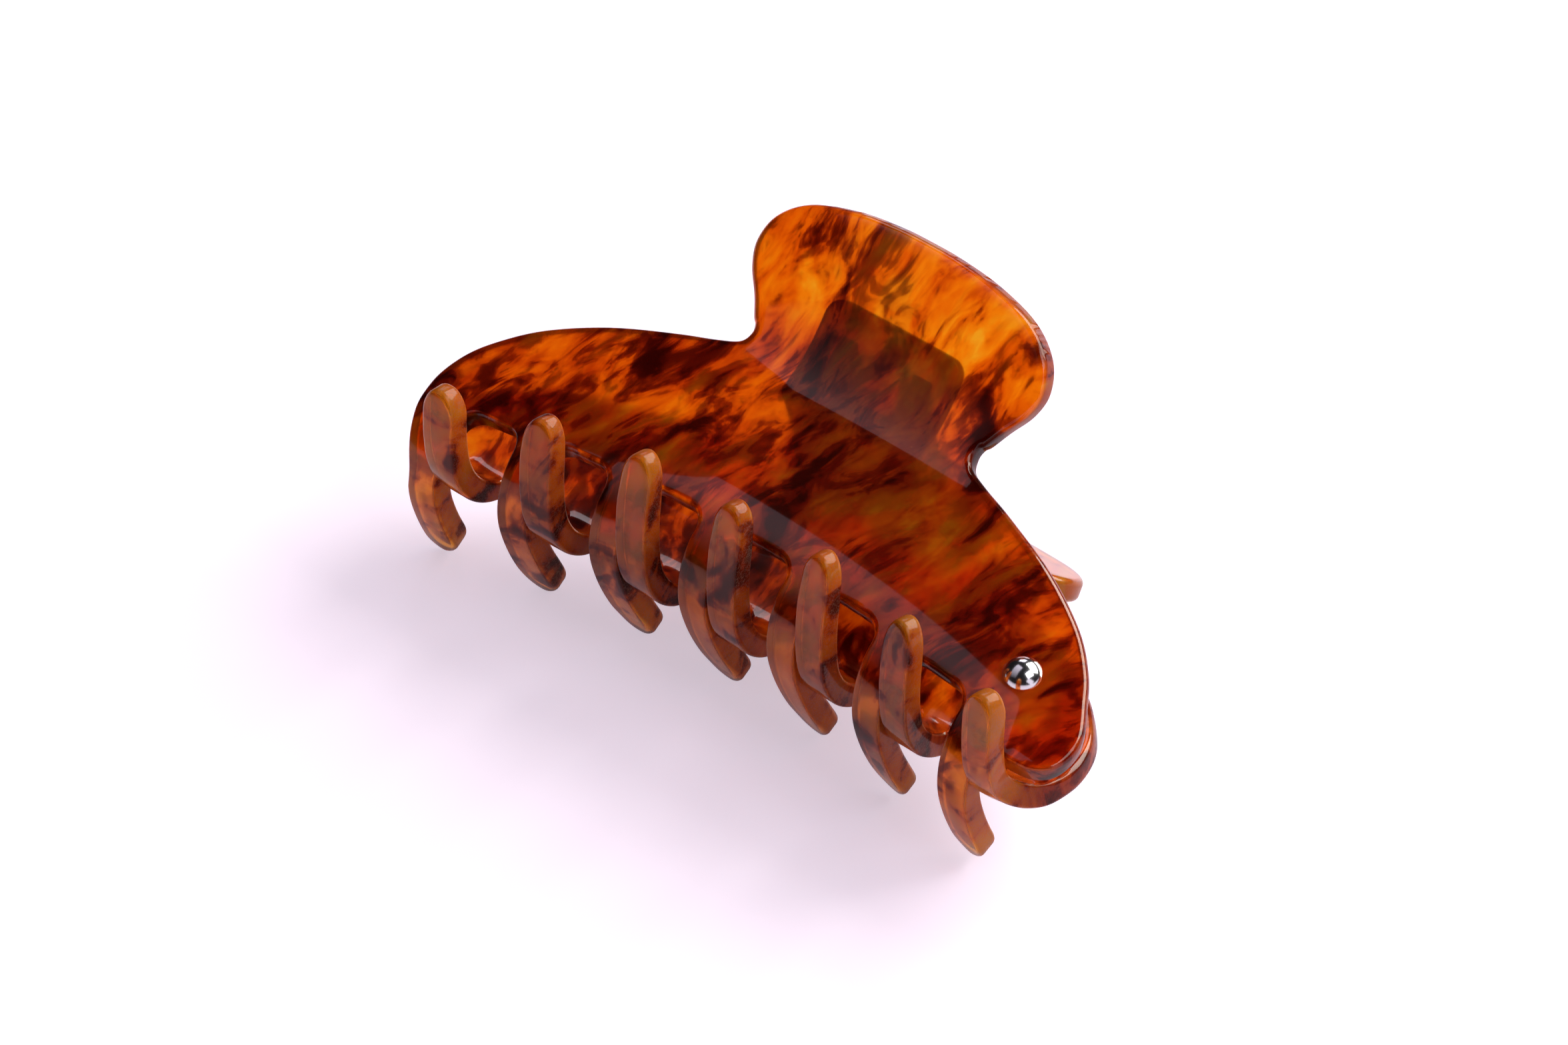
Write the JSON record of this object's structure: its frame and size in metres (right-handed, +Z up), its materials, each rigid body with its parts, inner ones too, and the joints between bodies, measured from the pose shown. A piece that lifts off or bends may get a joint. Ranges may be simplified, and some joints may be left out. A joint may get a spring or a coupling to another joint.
{
  "type": "claw hair clip",
  "caption": "Large claw hair clip of tortoiseshell-pattern sheet: two bent, toothed jaws with rounded finger handles on a sprung hinge, and a small domed metal stud.",
  "frame": {"origin": "centre of the footprint of the closed clip, on the surface that it lies on", "axes": "+X along the length of the clip, towards the trim stud; +Y from the teeth to the handles; +Z up from the surface that it lies on"},
  "size_m": [0.1142, 0.0606, 0.0568],
  "materials": {
    "tortoiseshell": "polished, mottled amber and dark brown",
    "hinge_plastic": "satin dark brown",
    "steel_wire": "drawn wire",
    "bright_metal": "polished"
  },
  "bodies": {
    "rear_half": {"rear_jaw": "tortoiseshell", "rear_hinge_block": "hinge_plastic", "hinge_pin": "steel_wire", "torsion_spring": "steel_wire"},
    "front_half": {"front_jaw": "tortoiseshell", "front_hinge_block": "hinge_plastic", "trim_stud": "bright_metal"}
  },
  "joints": [
    {"name": "jaw_hinge", "type": "hinge", "parent": "rear_half", "child": "front_half", "pos_m": [0, 0.01003, 0.02574], "axis": [-1, 0, 0], "range_deg": [0, 70], "stiffness_Nm_per_rad": 0.1, "springref_deg": -68.75, "deforming": ["torsion_spring"]}
  ]
}
